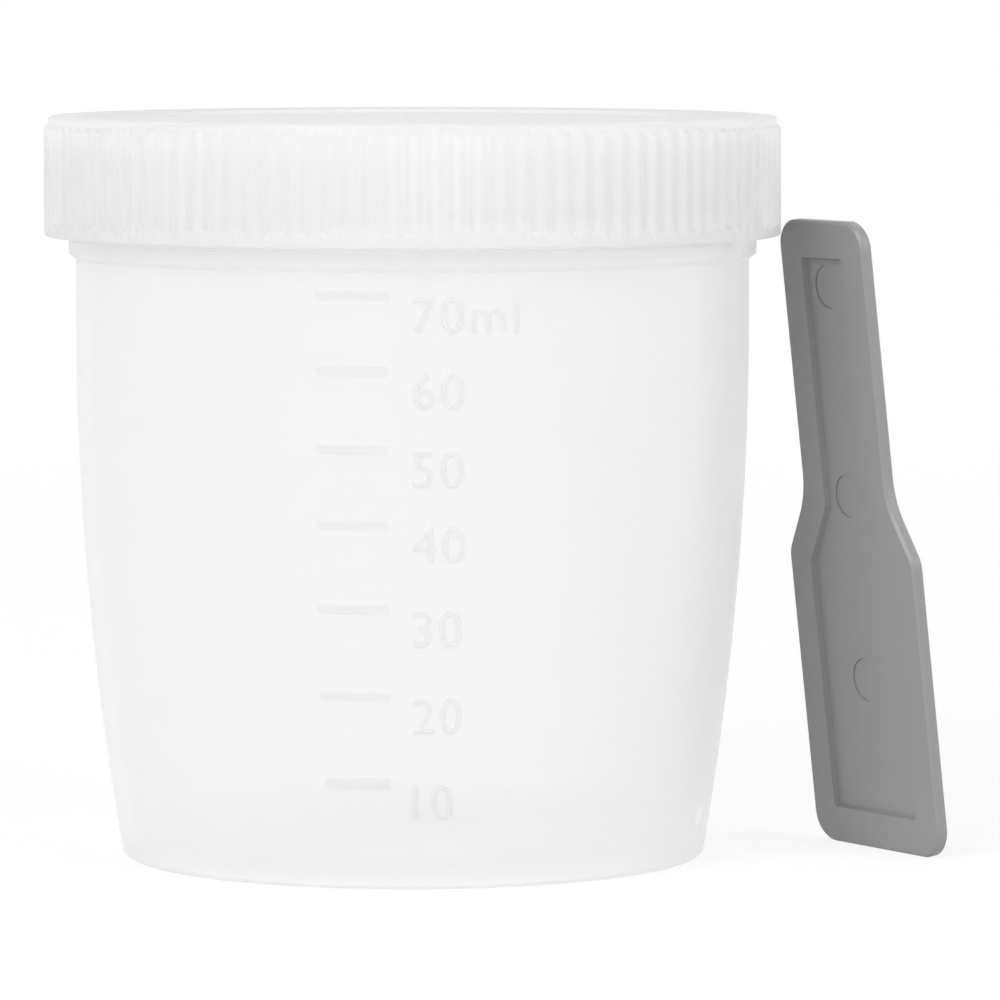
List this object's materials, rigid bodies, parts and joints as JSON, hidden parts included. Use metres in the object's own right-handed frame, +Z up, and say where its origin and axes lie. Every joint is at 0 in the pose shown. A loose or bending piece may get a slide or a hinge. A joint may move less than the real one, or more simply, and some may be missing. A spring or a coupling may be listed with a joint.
{
  "type": "specimen container",
  "caption": "Translucent moulded specimen jar with raised fill marks and a knurled screw cap, with its flat sampling spatula standing beside it.",
  "frame": {"origin": "middle of the ring that the jar stands on", "axes": "+Z up the jar's axis, -Y towards the fill marks, and the spatula stands at +X"},
  "size_m": [0.0671, 0.0548, 0.0551],
  "materials": {
    "jar_plastic": "natural translucent polypropylene, smooth moulded",
    "cap_plastic": "natural translucent polypropylene, smooth moulded, milkier where it is thick",
    "spatula_plastic": "opaque mid grey, satin moulded"
  },
  "bodies": {
    "jar": {"jar": "jar_plastic", "spatula": "spatula_plastic"},
    "cap": {"cap": "cap_plastic"}
  },
  "joints": [
    {"name": "cap_lift", "type": "slide", "parent": "jar", "child": "cap", "axis": [0, 0, 1], "range_m": [0, 0.016]}
  ]
}
